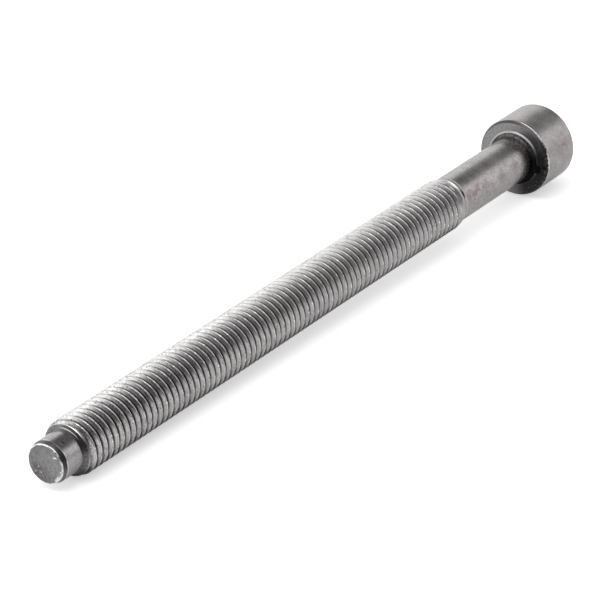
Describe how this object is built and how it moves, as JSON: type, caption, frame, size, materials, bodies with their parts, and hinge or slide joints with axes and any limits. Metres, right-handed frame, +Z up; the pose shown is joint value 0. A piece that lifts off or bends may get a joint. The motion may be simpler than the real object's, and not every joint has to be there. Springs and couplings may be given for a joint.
{
  "type": "cylinder head bolt",
  "caption": "Long steel bolt with a round cylindrical head, a plain reduced shank, a long coarse rolled thread and a dog point at its tip.",
  "frame": {"origin": "centre of the flat bearing face under the head, on the bolt's axis", "axes": "+X along the bolt from the head towards the tip, level with the surface that it lies on, so the bolt's own axis leans 1.08 degrees below +X; +Z up"},
  "size_m": [0.1834, 0.018, 0.0182],
  "materials": {
    "steel": "satin grey machined steel with faint brown stains"
  },
  "bodies": {
    "root": {"head_bolt": "steel"}
  },
  "joints": []
}
